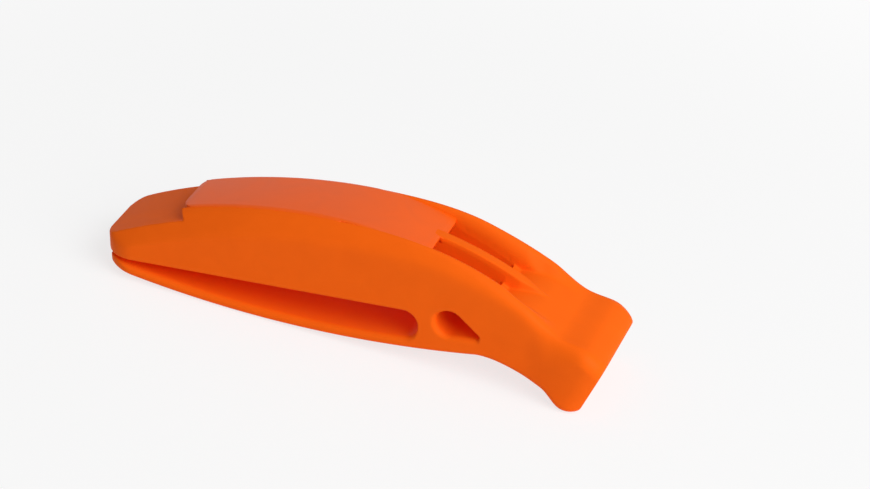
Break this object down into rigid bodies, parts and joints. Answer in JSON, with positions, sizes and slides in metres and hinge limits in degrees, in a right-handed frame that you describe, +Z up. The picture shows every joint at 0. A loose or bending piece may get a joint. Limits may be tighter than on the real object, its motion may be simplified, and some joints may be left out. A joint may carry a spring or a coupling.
{
  "type": "signal whistle",
  "caption": "Pealess signal whistle of orange moulded plastic with flared mouthpiece, labium windows on top, lanyard hole and a spring clip along its belly for a strap.",
  "frame": {"origin": "centre of the bounding box's bottom, on the surface that the whistle stands on with the foot of its lip and the belly of its clip", "axes": "+X along the whistle towards the mouth, +Y across it, +Z up"},
  "size_m": [0.0708, 0.0158, 0.0175],
  "materials": {
    "body_plastic": "satin moulded",
    "cover_plastic": "satin moulded"
  },
  "bodies": {
    "whistle": {"body": "body_plastic", "sound_cover": "cover_plastic"},
    "clip": {"strap_clip": "body_plastic"}
  },
  "joints": [
    {"name": "clip_flex", "type": "hinge", "parent": "whistle", "child": "clip", "pos_m": [0.00825, 0, 0.00279], "axis": [0, -1, 0], "range_deg": [0, 5], "stiffness_Nm_per_rad": 0.63}
  ]
}
